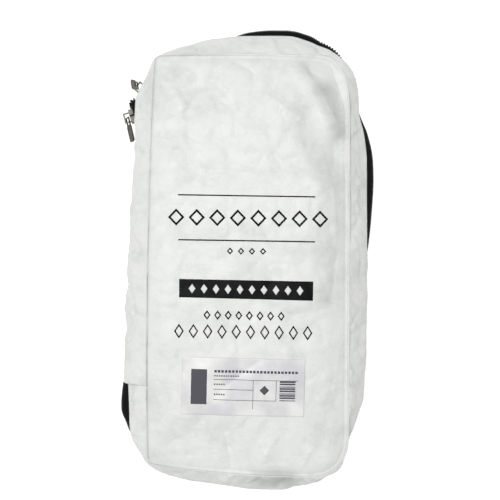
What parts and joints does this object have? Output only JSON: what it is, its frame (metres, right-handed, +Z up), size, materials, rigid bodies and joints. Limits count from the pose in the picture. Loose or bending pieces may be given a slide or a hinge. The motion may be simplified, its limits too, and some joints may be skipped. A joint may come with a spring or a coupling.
{
  "type": "zippered storage pouch for a sliding mitt",
  "caption": "Soft white pouch that opens like a book, with a gusset round each face, a black coil zip on three sides and two metal sliders with pull tabs.",
  "frame": {"origin": "middle of the bounding box's underside, on the floor that the pouch lies on", "axes": "+Z up out of the front face, +Y towards the pouch's top end, +X to the right seen from above with the spine on the left"},
  "size_m": [0.2182, 0.3946, 0.0607],
  "materials": {
    "white_cloth": "coated white paper-like cloth, finely crinkled, with a soft sheen",
    "zip_tape": "black woven polyester tape",
    "zip_coil": "black nylon coil",
    "slider_metal": "antique nickel, slightly worn on the edges",
    "sticker": "pale grey semi-gloss sticker with dark printing"
  },
  "bodies": {
    "case": {"front_panel": "white_cloth", "front_gusset": "white_cloth", "back_gusset": "white_cloth", "back_panel": "white_cloth", "spine_panel": "white_cloth", "zip_tape_front": "zip_tape", "zip_tape_back": "zip_tape", "zip_coil_front": "zip_coil", "zip_coil_back": "zip_coil", "slider_upper": "slider_metal", "slider_lower": "slider_metal", "label": "sticker"},
    "upper_pull": {"pull_upper": "slider_metal"},
    "lower_pull": {"pull_lower": "slider_metal"}
  },
  "joints": [
    {"name": "upper_pull_swing", "type": "hinge", "parent": "case", "child": "upper_pull", "pos_m": [-0.09551, 0.15067, 0.02278], "axis": [-0.6084, -0.7925, 0.0422], "range_deg": [-100, 12]},
    {"name": "lower_pull_swing", "type": "hinge", "parent": "case", "child": "lower_pull", "pos_m": [-0.10395, 0.12245, 0.0239], "axis": [-0.4908, -0.1007, -0.8654], "range_deg": [0, 120]}
  ]
}
